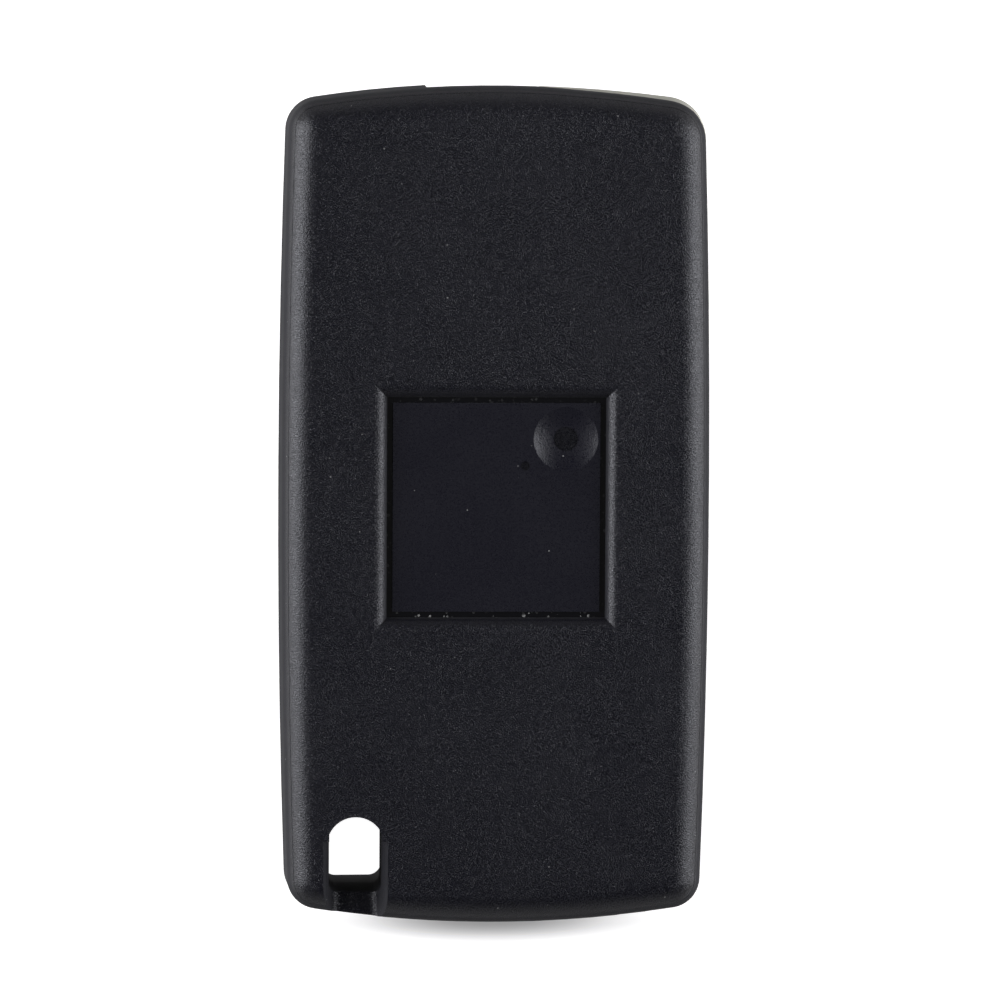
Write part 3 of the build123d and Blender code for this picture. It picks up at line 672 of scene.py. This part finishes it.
buttonCap = {
    "x": -3.5,
    "rows": {"lock_button": 2.8, "boot_button": -8.0, "unlock_button": -18.8},
    "halfWidth": 6.85,
    "halfLength": 3.85,
    "corner": 1.9,
    "cornerSteps": 12,
    "faceZ": 0.3,
    "flangeZ": 1.6,
    "backZ": 2.2,
    "flange": 0.85,
    "flangeSoft": 0.08,
    "backInner": 0.5,         # a ring half way in keeps the back's triangles even
    "edgeRound": 0.3,
    "edgeSteps": 4,
    "dishFrom": 0.88,         # share of the half size at which the dish starts
    "dishDepth": 0.2,
    "dishRings": 10,
    "dishEase": 6,
}


def makeButton(name, middleY):
    cap = buttonCap
    faceZ, flangeZ, backZ = cap["faceZ"], cap["flangeZ"], cap["backZ"]

    def ring(grow, z, scale=1.0):
        halves = cap["halfWidth"] + grow, cap["halfLength"] + grow
        outline = roundedRectangle(*halves, cap["corner"] + grow, cap["cornerSteps"])
        return [Vector((cap["x"] + scale * px, middleY + scale * py, z)) * mm for px, py in outline]

    flange, soft, radius = cap["flange"], cap["flangeSoft"], cap["edgeRound"]
    rings = [
        [Vector((cap["x"], middleY, backZ)) * mm],
        ring(flange - soft, backZ, cap["backInner"]),
        ring(flange - soft, backZ),
        ring(flange, backZ - soft),
        ring(flange, flangeZ + soft),
        ring(flange - soft, flangeZ),
        ring(0.0, flangeZ),
    ]
    for inward, back in roundedEdge(radius, cap["edgeSteps"]):
        rings.append(ring(-inward, faceZ + back))
    dishWidth = cap["dishFrom"] * (cap["halfWidth"] - radius)
    dishLength = cap["dishFrom"] * (cap["halfLength"] - radius)
    for step in range(cap["dishRings"]):
        outward = 1 - step / cap["dishRings"]
        level = ring(-radius, faceZ, cap["dishFrom"] * outward)
        for point in level:
            across = (point.x / mm - cap["x"]) / dishWidth
            along = (point.y / mm - middleY) / dishLength
            hollow = (1 - across * across) * (1 - along * along) * (1 - outward ** cap["dishEase"])
            point.z += cap["dishDepth"] * hollow * mm
        rings.append(level)
    rings.append([Vector((cap["x"], middleY, faceZ + cap["dishDepth"])) * mm])
    return finishMesh(name + "_cap", rings, mouldings["capPlastic"])


for nodeName, middleY in buttonCap["rows"].items():
    cap = makeButton(nodeName, middleY)
    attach(cap, nodeName.split("_")[0])
    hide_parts(nodeName)
print("button caps built")


releaseCap = {
    "middle": (6.4, 25.5),
    "radius": 4.8,
    "faceZ": 0.3,
    "backZ": 1.7,
    "backChamfer": 0.1,
    "edgeRound": 0.38,
    "edgeSteps": 6,
    "dishRadius": 4.1,
    "dishDepth": 0.32,
    "dishRings": 13,
    "sides": 96,
    "tint": (0.60, 0.60, 0.61),
    "worn": (0.78, 0.78, 0.78),
    "rough": 0.19,
    "roughPatch": 1.5,            # a handled patch is this much rougher
    "patchSize": 3.0,
    "patchTone": 0.9,
    "edges": {"reach": 0.15, "patchiness": 0.7},
    "ringSpacing": 0.045,
    "ringDepth": 0.0016,
}


def makeSpunChrome():  # fine rings round the cap's middle, as turning leaves them
    look = releaseCap
    finish, tree, shader = newFinish("spunChrome", Metallic=1.0)
    place, _ = objectMillimetres(tree)
    middle = (-look["middle"][0], -look["middle"][1], 0.0)
    centred = addNode(tree, "ShaderNodeMapping", inputs={"Location": middle})
    join(tree, place, centred.inputs["Vector"])
    x, y, _ = split(tree, centred.outputs["Vector"])
    radius = maths(tree, "SQRT", maths(tree, "MULTIPLY_ADD", x, x, product(tree, y, y)))
    rings = addNode(tree, "ShaderNodeTexNoise", noise_dimensions="1D", inputs={
        "Scale": 1.0 / look["ringSpacing"], "Detail": 2.0})
    join(tree, radius, rings.inputs["W"])
    patch = placeGroup(tree, handling, size=look["patchSize"])["patch"]
    edges = placeGroup(tree, edgeWear, **look["edges"])["mask"]
    dull = tuple(look["patchTone"] * part for part in look["tint"])
    colour = blendColour(tree, patch, look["tint"], dull)
    join(tree, blendColour(tree, edges, colour, look["worn"]), shader.inputs["Base Color"])
    rough = ramp(tree, patch, 0.0, 1.0, look["rough"], look["rough"] * look["roughPatch"])
    join(tree, rough, shader.inputs["Roughness"])
    reliefToNormal(tree, shader, product(tree, rings.outputs["Fac"], look["ringDepth"]))
    return finish


def makeReleaseCap():
    cap = releaseCap
    middleX, middleY = cap["middle"]
    faceZ, backZ = cap["faceZ"], cap["backZ"]
    turns = [2 * math.pi * side / cap["sides"] for side in range(cap["sides"])]

    def ring(radius, z):
        spokes = [(radius * math.cos(turn), radius * math.sin(turn)) for turn in turns]
        return [Vector((middleX + across, middleY + along, z)) * mm for across, along in spokes]

    radius, chamfer = cap["radius"], cap["backChamfer"]
    rings = [
        [Vector((middleX, middleY, backZ)) * mm],
        ring(radius - chamfer, backZ),
        ring(radius, backZ - chamfer),
    ]
    for inward, back in roundedEdge(cap["edgeRound"], cap["edgeSteps"]):
        rings.append(ring(radius - inward, faceZ + back))
    for step in range(1, cap["dishRings"]):
        outward = 1 - step / cap["dishRings"]
        hollow = cap["dishDepth"] * (1 - outward * outward)
        rings.append(ring(cap["dishRadius"] * outward, faceZ + hollow))
    rings.append([Vector((middleX, middleY, faceZ + cap["dishDepth"])) * mm])
    return finishMesh("release_cap_turned", rings, makeSpunChrome())


turnedCap = makeReleaseCap()
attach(turnedCap, "release")
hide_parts("release_cap")
print("release cap built")


flipSpring = {
    "middle": (6.4, 25.5),
    "lowest": 3.05,
    "highest": 9.45,
    "endGap": 0.02,
    "coilRadius": 3.3,
    "wireRadius": 0.38,
    "turns": 4.5,
    "pointsPerTurn": 48,
    "wireSides": 14,
    "fixedEnd": 9.5,
    "pressed": 0.628,         # share of its length that is left with the release pressed
}


def makeCoilTree(material):
    tree = bpy.data.node_groups.new("coilSpring", "GeometryNodeTree")
    kinds = {
        "Geometry": "Geometry", "coilRadius": "Float", "wireRadius": "Float", "turns": "Float",
        "height": "Float", "pointsPerTurn": "Int", "wireSides": "Int", "place": "Vector",
    }
    for label, kind in kinds.items():
        tree.interface.new_socket(label, in_out="INPUT", socket_type="NodeSocket" + kind)
    tree.interface.new_socket("Geometry", in_out="OUTPUT", socket_type="NodeSocketGeometry")
    given = tree.nodes.new("NodeGroupInput").outputs
    coil = tree.nodes.new("GeometryNodeCurveSpiral")
    wire = tree.nodes.new("GeometryNodeCurvePrimitiveCircle")
    sweep = tree.nodes.new("GeometryNodeCurveToMesh")
    move = tree.nodes.new("GeometryNodeTransform")
    smooth = tree.nodes.new("GeometryNodeSetShadeSmooth")
    realize = tree.nodes.new("GeometryNodeRealizeInstances")
    paint = tree.nodes.new("GeometryNodeSetMaterial")
    sizes = (
        ("pointsPerTurn", coil, "Resolution"), ("turns", coil, "Rotations"),
        ("coilRadius", coil, "Start Radius"), ("coilRadius", coil, "End Radius"),
        ("height", coil, "Height"), ("wireSides", wire, "Resolution"),
        ("wireRadius", wire, "Radius"), ("place", move, "Translation"),
    )
    for label, node, socket in sizes:
        join(tree, given[label], node.inputs[socket])
    join(tree, coil.outputs["Curve"], sweep.inputs["Curve"])
    join(tree, wire.outputs["Curve"], sweep.inputs["Profile Curve"])
    sweep.inputs["Fill Caps"].default_value = True
    paint.inputs["Material"].default_value = material
    shape = sweep.outputs["Mesh"]
    for node in (move, smooth, realize, paint):
        join(tree, shape, node.inputs["Geometry"])
        shape = node.outputs["Geometry"]
    join(tree, shape, tree.nodes.new("NodeGroupOutput").inputs["Geometry"])
    return tree


def grow(name, tree, values):  # runs a Geometry Nodes tree once and keeps the plain mesh it makes
    carrier = addObject(name + "Source", bpy.data.meshes.new(name + "Source"))
    modifier = carrier.modifiers.new(name, "NODES")
    modifier.node_group = tree
    for item in tree.interface.items_tree:
        if item.in_out == "INPUT" and item.name in values:
            modifier[item.identifier] = values[item.name]
    evaluated = carrier.evaluated_get(bpy.context.evaluated_depsgraph_get())
    data = bpy.data.meshes.new_from_object(evaluated)
    carrier.modifiers.remove(modifier)
    bpy.data.objects.remove(carrier)
    data.name = name
    return addObject(name, data)


def makeFlipSpring():
    spring = flipSpring
    wire, gap = spring["wireRadius"], spring["endGap"]
    height = spring["highest"] - spring["lowest"] - 2 * wire - 2 * gap
    start = (*spring["middle"], spring["lowest"] + wire + gap)
    return grow("flip_spring_coil", makeCoilTree(metals["springSteel"]), {
        "coilRadius": spring["coilRadius"] * mm,
        "wireRadius": wire * mm,
        "turns": spring["turns"],
        "height": height * mm,
        "pointsPerTurn": spring["pointsPerTurn"],
        "wireSides": spring["wireSides"],
        "place": tuple(mm * part for part in start),
    })


springCoil = makeFlipSpring()
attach(springCoil, "flip")
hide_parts("flip_spring")
middleX, middleY = flipSpring["middle"]
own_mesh(springCoil)
print("flip spring coiled")


# studio: all lengths in metres, apart from the floor's level

paleFloor = {
    "size": 6.0,
    "level": -0.05,               # just clear of the buttons' face, in millimetres
    "white": (0.93, 0.915, 0.87),
    "glow": 0.66,                 # the floor's own light, as the camera sees it
    "farGlow": (0.05, 0.5),       # mirrored, it turns to full white this far away
    "stretch": 0.25,              # squared, how much longer than wide these rings round the key are
    "sideBand": (-0.0245, -0.0105),
    "sideShadedShare": 0.62,            # painted shade: share of the floor's white that the case mirrors close by
    "sideReach": (0.0185, 0.034),
    "endShadedShare": 0.36,
    "endReach": (0.02, 0.2),
    "slotAt": (-0.0119, -0.0296, 0.0),
    "slotShadedShare": 0.2,
    "slotReach": (0.004, 0.009),
    # painted light: for the camera, the floor glows white below the ring slot, where the key shades it
    "slotPaintedLight": (0.0045, 0.007),
    "beneath": (0.0168, 0.0342),  # half sizes of the floor that only the key's underside looks at
    # painted shadow: an ellipse below the key's lower end where, for the camera, the floor's colour is
    # darkened and its own light fades out
    "shadowAt": (0.0004, -0.0377),
    "shadowSize": (0.0175, 0.0024),
    "shadowFade": (0.11, 1.14),
    "shadowTone": 0.67,
}


def rayKinds(tree):
    rays = addNode(tree, "ShaderNodeLightPath").outputs
    mirrored = maths(tree, "ADD", rays["Is Glossy Ray"], rays["Is Transmission Ray"], clamp=True)
    return rays["Is Camera Ray"], mirrored


def mirroredShadeShare(tree, x, y, away, fromSlot):  # painted shade in reflections: how much of the floor's white the case mirrors, less near its sides, ends and ring slot
    look = paleFloor
    toSide = difference(tree, unsigned(tree, x), unsigned(tree, y))
    unshadedShare = addNode(tree, "ShaderNodeMix", data_type="FLOAT")
    join(tree, ramp(tree, toSide, *look["sideBand"]), unshadedShare.inputs[0])
    join(tree, ramp(tree, away, *look["endReach"], look["endShadedShare"], 1.0), unshadedShare.inputs[2])
    join(tree, ramp(tree, away, *look["sideReach"], look["sideShadedShare"], 1.0), unshadedShare.inputs[3])
    besideSlot = ramp(tree, fromSlot, *look["slotReach"], look["slotShadedShare"], 1.0)
    return product(tree, unshadedShare.outputs[0], besideSlot)


def fromShadow(tree, x, y):  # 0 in the middle of the painted shadow below the key's lower end and 1 at its rim
    middleX, middleY = paleFloor["shadowAt"]
    reachX, reachY = paleFloor["shadowSize"]
    across = maths(tree, "DIVIDE", difference(tree, x, middleX), reachX)
    along = maths(tree, "DIVIDE", difference(tree, y, middleY), reachY)
    return maths(tree, "SQRT", maths(tree, "MULTIPLY_ADD", across, across, product(tree, along, along)))


def makePaleFinish():
    look = paleFloor
    finish = bpy.data.materials.new("paleFloor")
    finish.use_nodes = True
    tree = finish.node_tree
    tree.nodes.clear()
    out = addNode(tree, "ShaderNodeOutputMaterial")
    paper = addNode(tree, "ShaderNodeBsdfDiffuse")
    glow = addNode(tree, "ShaderNodeEmission", inputs={"Color": (1.0, 1.0, 1.0, 1.0)})
    fromCamera, mirrored = rayKinds(tree)
    place = addNode(tree, "ShaderNodeTexCoord").outputs["Object"]
    x, y, _ = split(tree, place)
    lengthways = product(tree, product(tree, y, y), look["stretch"])
    away = maths(tree, "SQRT", maths(tree, "ADD", product(tree, x, x), lengthways))
    slot = addNode(tree, "ShaderNodeVectorMath", operation="DISTANCE")
    join(tree, place, slot.inputs[0])
    slot.inputs[1].default_value = look["slotAt"]
    fromSlot = slot.outputs["Value"]
    reach = fromShadow(tree, x, y)
    # painted shadow: the floor's own light fades out in the ellipse below the key
    white = ramp(tree, reach, *look["shadowFade"], 0.0, look["glow"])
    # painted light below the ring slot, in place of the key's shadow there
    under = ramp(tree, fromSlot, *look["slotPaintedLight"], 1.0, 0.0)
    shown = product(tree, fromCamera, maths(tree, "MAXIMUM", white, under))
    far = product(tree, mirrored, ramp(tree, away, *look["farGlow"]))
    join(tree, maths(tree, "ADD", shown, far), glow.inputs["Strength"])
    unshadedShare = mirroredShadeShare(tree, x, y, away, fromSlot)
    # painted shade: as the case mirrors it, the floor's colour is darker near the key
    mirroredShade = product(tree, mirrored, difference(tree, 1.0, unshadedShare))
    # painted shadow: the floor's colour is darkened in that ellipse, as the camera sees it
    shade = ramp(tree, reach, *look["shadowFade"], 1.0 - look["shadowTone"], 0.0)
    shade = product(tree, fromCamera, shade)
    tone = difference(tree, difference(tree, 1.0, mirroredShade), shade)
    join(tree, blendColour(tree, tone, (0.0, 0.0, 0.0), look["white"]), paper.inputs["Color"])
    both = addNode(tree, "ShaderNodeAddShader")
    join(tree, paper.outputs["BSDF"], both.inputs[0])
    join(tree, glow.outputs["Emission"], both.inputs[1])
    # seen from below the floor is clear, and the key's underside looks through it
    halfX, halfY = look["beneath"]
    withinX = maths(tree, "LESS_THAN", unsigned(tree, x), halfX)
    withinY = maths(tree, "LESS_THAN", unsigned(tree, y), halfY)
    unseen = product(tree, product(tree, withinX, withinY), difference(tree, 1.0, fromCamera))
    behind = addNode(tree, "ShaderNodeNewGeometry").outputs["Backfacing"]
    cleared = addNode(tree, "ShaderNodeMixShader")
    join(tree, maths(tree, "MAXIMUM", behind, unseen), cleared.inputs[0])
    join(tree, both.outputs["Shader"], cleared.inputs[1])
    join(tree, addNode(tree, "ShaderNodeBsdfTransparent").outputs["BSDF"], cleared.inputs[2])
    join(tree, cleared.outputs["Shader"], out.inputs["Surface"])
    return finish


def makeFloor():
    mesh = bpy.data.meshes.new("floor")
    half, level = paleFloor["size"] / 2, paleFloor["level"] * mm
    corners = [(-half, -half, level), (half, -half, level), (half, half, level), (-half, half, level)]
    mesh.from_pydata(corners, [], [(0, 1, 2, 3)])
    mesh.materials.append(makePaleFinish())
    floor = addObject("floor", mesh)


softBoxes = {
    "sides": {"leftBox": (-1, 27.5, 7.3), "rightBox": (1, 28.0, 6.2)},  # side, elevation and radiance
    "distance": 0.65,
    "shift": 0.08,
    "size": (0.54, 0.42),
    "tint": (0.97, 0.98, 1.05),
    "top": {"at": (0.0, 0.22, 0.75), "aim": (0.0, 0.0, 0.0), "sizes": (0.3, 0.3), "radiance": 1.5},
}


def aimed(at, aim, roll=0.0):
    back = (Vector(at) - Vector(aim)).normalized()
    right = Vector((0.0, 1.0, 0.0)).cross(back).normalized()
    level = Matrix((right, back.cross(right), back)).transposed()
    return Matrix.Translation(at) @ (level @ Matrix.Rotation(math.radians(roll), 3, "Z")).to_4x4()


def makeLamp(name, at, aim, sizes, radiance):
    lamp = bpy.data.lights.new(name, "AREA")
    lamp.shape = "RECTANGLE"
    lamp.size, lamp.size_y = sizes
    lamp.energy = radiance * math.pi * sizes[0] * sizes[1]
    lamp.color = softBoxes["tint"]
    holder = addObject(name, lamp)
    holder.matrix_world = aimed(at, aim)
    holder.visible_camera = False
    return holder


def makeSoftBoxes():
    shift, distance = softBoxes["shift"], softBoxes["distance"]
    for name, (side, elevation, radiance) in softBoxes["sides"].items():
        lift = math.radians(elevation)
        at = (side * distance * math.cos(lift), shift, distance * math.sin(lift))
        makeLamp(name, at, (0.0, shift, 0.0), softBoxes["size"], radiance)
    topLamp = makeLamp("topFill", **softBoxes["top"])
    topLamp.visible_glossy = False


photoCamera = {
    "at": (-0.02298, 0.03641, 0.465),
    "aim": (0.00025, 0.00073, 0.015),
    "roll": 0.312,
    "lens": 191.7,
    "sensor": 36.0,
    "clip": (0.01, 50.0),
}


def makeCamera():
    camera = addObject("photoCamera", bpy.data.cameras.new("photoCamera"))
    camera.data.lens = photoCamera["lens"]
    camera.data.sensor_width = photoCamera["sensor"]
    camera.data.clip_start, camera.data.clip_end = photoCamera["clip"]
    camera.matrix_world = aimed(photoCamera["at"], photoCamera["aim"], photoCamera["roll"])
    bpy.context.scene.camera = camera


# what the case mirrors, and the soft light; each band is in the height of a direction, -1 to 1

studioWorld = {
    "horizon": 1.05,
    "horizonBand": (-0.02, 0.3),
    "endward": (0.3, 0.75),       # how far a direction points along the key
    "horizonEnds": 0.46,          # beyond the two short ends of the key
    "endsBand": (0.05, 0.78),
    "endsTop": 0.01,
    "zenith": 0.115,
    "zenithBand": (0.93, 0.985),
    "straightBelow": 0.04,
    "belowBand": (-0.97, -0.6),
    "ambient": 0.06,
    "ambientBelow": 0.9,
    "ambientBand": (-0.2, 0.0),
}


def makeWorld():
    look = studioWorld
    world = bpy.data.worlds.new("studioWorld")
    world.use_nodes = True
    bpy.context.scene.world = world
    tree = world.node_tree
    shader = tree.nodes["Background"]
    _, ahead, height = split(tree, addNode(tree, "ShaderNodeTexCoord").outputs["Generated"])
    sides = product(tree, ramp(tree, height, *look["horizonBand"], 1.0, 0.0), look["horizon"])
    ends = ramp(tree, height, *look["endsBand"], look["horizonEnds"], look["endsTop"])
    endward = ramp(tree, unsigned(tree, ahead), *look["endward"])
    around = maths(tree, "MULTIPLY_ADD", endward, difference(tree, ends, sides), sides)
    around = product(tree, around, ramp(tree, height, *look["belowBand"], look["straightBelow"], 1.0))
    above = ramp(tree, height, *look["zenithBand"], 0.0, look["zenith"])
    fromCamera, mirrored = rayKinds(tree)
    shown = maths(tree, "MULTIPLY_ADD", mirrored, maths(tree, "ADD", around, above), fromCamera)
    seen = maths(tree, "ADD", fromCamera, mirrored, clamp=True)
    soft = ramp(tree, height, *look["ambientBand"], look["ambientBelow"], look["ambient"])
    unseen = product(tree, difference(tree, 1.0, seen), soft)
    join(tree, maths(tree, "ADD", shown, unseen), shader.inputs["Strength"])
    shader.inputs["Color"].default_value = (1.0, 1.0, 1.0, 1.0)


makeFloor()
makeSoftBoxes()
makeCamera()
makeWorld()
bpy.context.scene.view_settings.view_transform = "Standard"
print("studio set")
